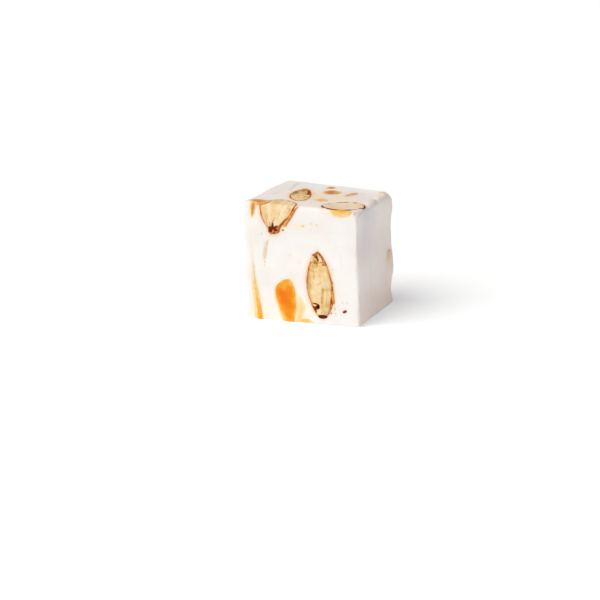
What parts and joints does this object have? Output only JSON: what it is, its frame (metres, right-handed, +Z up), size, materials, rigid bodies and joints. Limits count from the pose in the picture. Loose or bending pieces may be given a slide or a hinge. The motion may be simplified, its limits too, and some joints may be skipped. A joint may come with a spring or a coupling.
{
  "type": "nougat cube",
  "caption": "Hand-cut cube of soft white nougat with whole almonds and caramel cut through at its faces.",
  "frame": {"origin": "middle of the bounding box's base, on the plane the cube stands on", "axes": "+Z up; -Y out of the front face, the one with the tall split almond; +X to the right of that face"},
  "size_m": [0.0384, 0.0314, 0.0376],
  "materials": {
    "nougat": "knife-cut white nougat, matt and slightly translucent",
    "almond": "cut blanched-cream kernel with a thin brown skin at its rim",
    "almond_skin": "papery brown almond skin",
    "caramel": "glossy orange caramel, translucent",
    "honey_caramel": "glossy pale honey caramel, translucent",
    "browned_caramel": "satin browned caramel, translucent"
  },
  "bodies": {
    "root": {"almond_back": "almond", "almond_back_cross": "almond", "almond_base": "almond", "almond_corner": "almond", "almond_front": "almond", "almond_left": "almond", "almond_left_top": "almond", "almond_right_edge": "almond", "almond_sliver_front": "almond", "almond_top_corner": "almond", "almond_top_left": "almond", "almond_top_right": "almond", "almond_top_shard": "almond", "caramel_back": "caramel", "caramel_back_base": "caramel", "caramel_base": "honey_caramel", "caramel_corner": "browned_caramel", "caramel_front": "caramel", "caramel_left": "caramel", "caramel_left_bead": "honey_caramel", "caramel_streak": "honey_caramel", "caramel_top_back": "browned_caramel", "caramel_top_brown": "browned_caramel", "caramel_top_edge": "honey_caramel", "caramel_top_pale": "honey_caramel", "nougat": "nougat"}
  },
  "joints": []
}
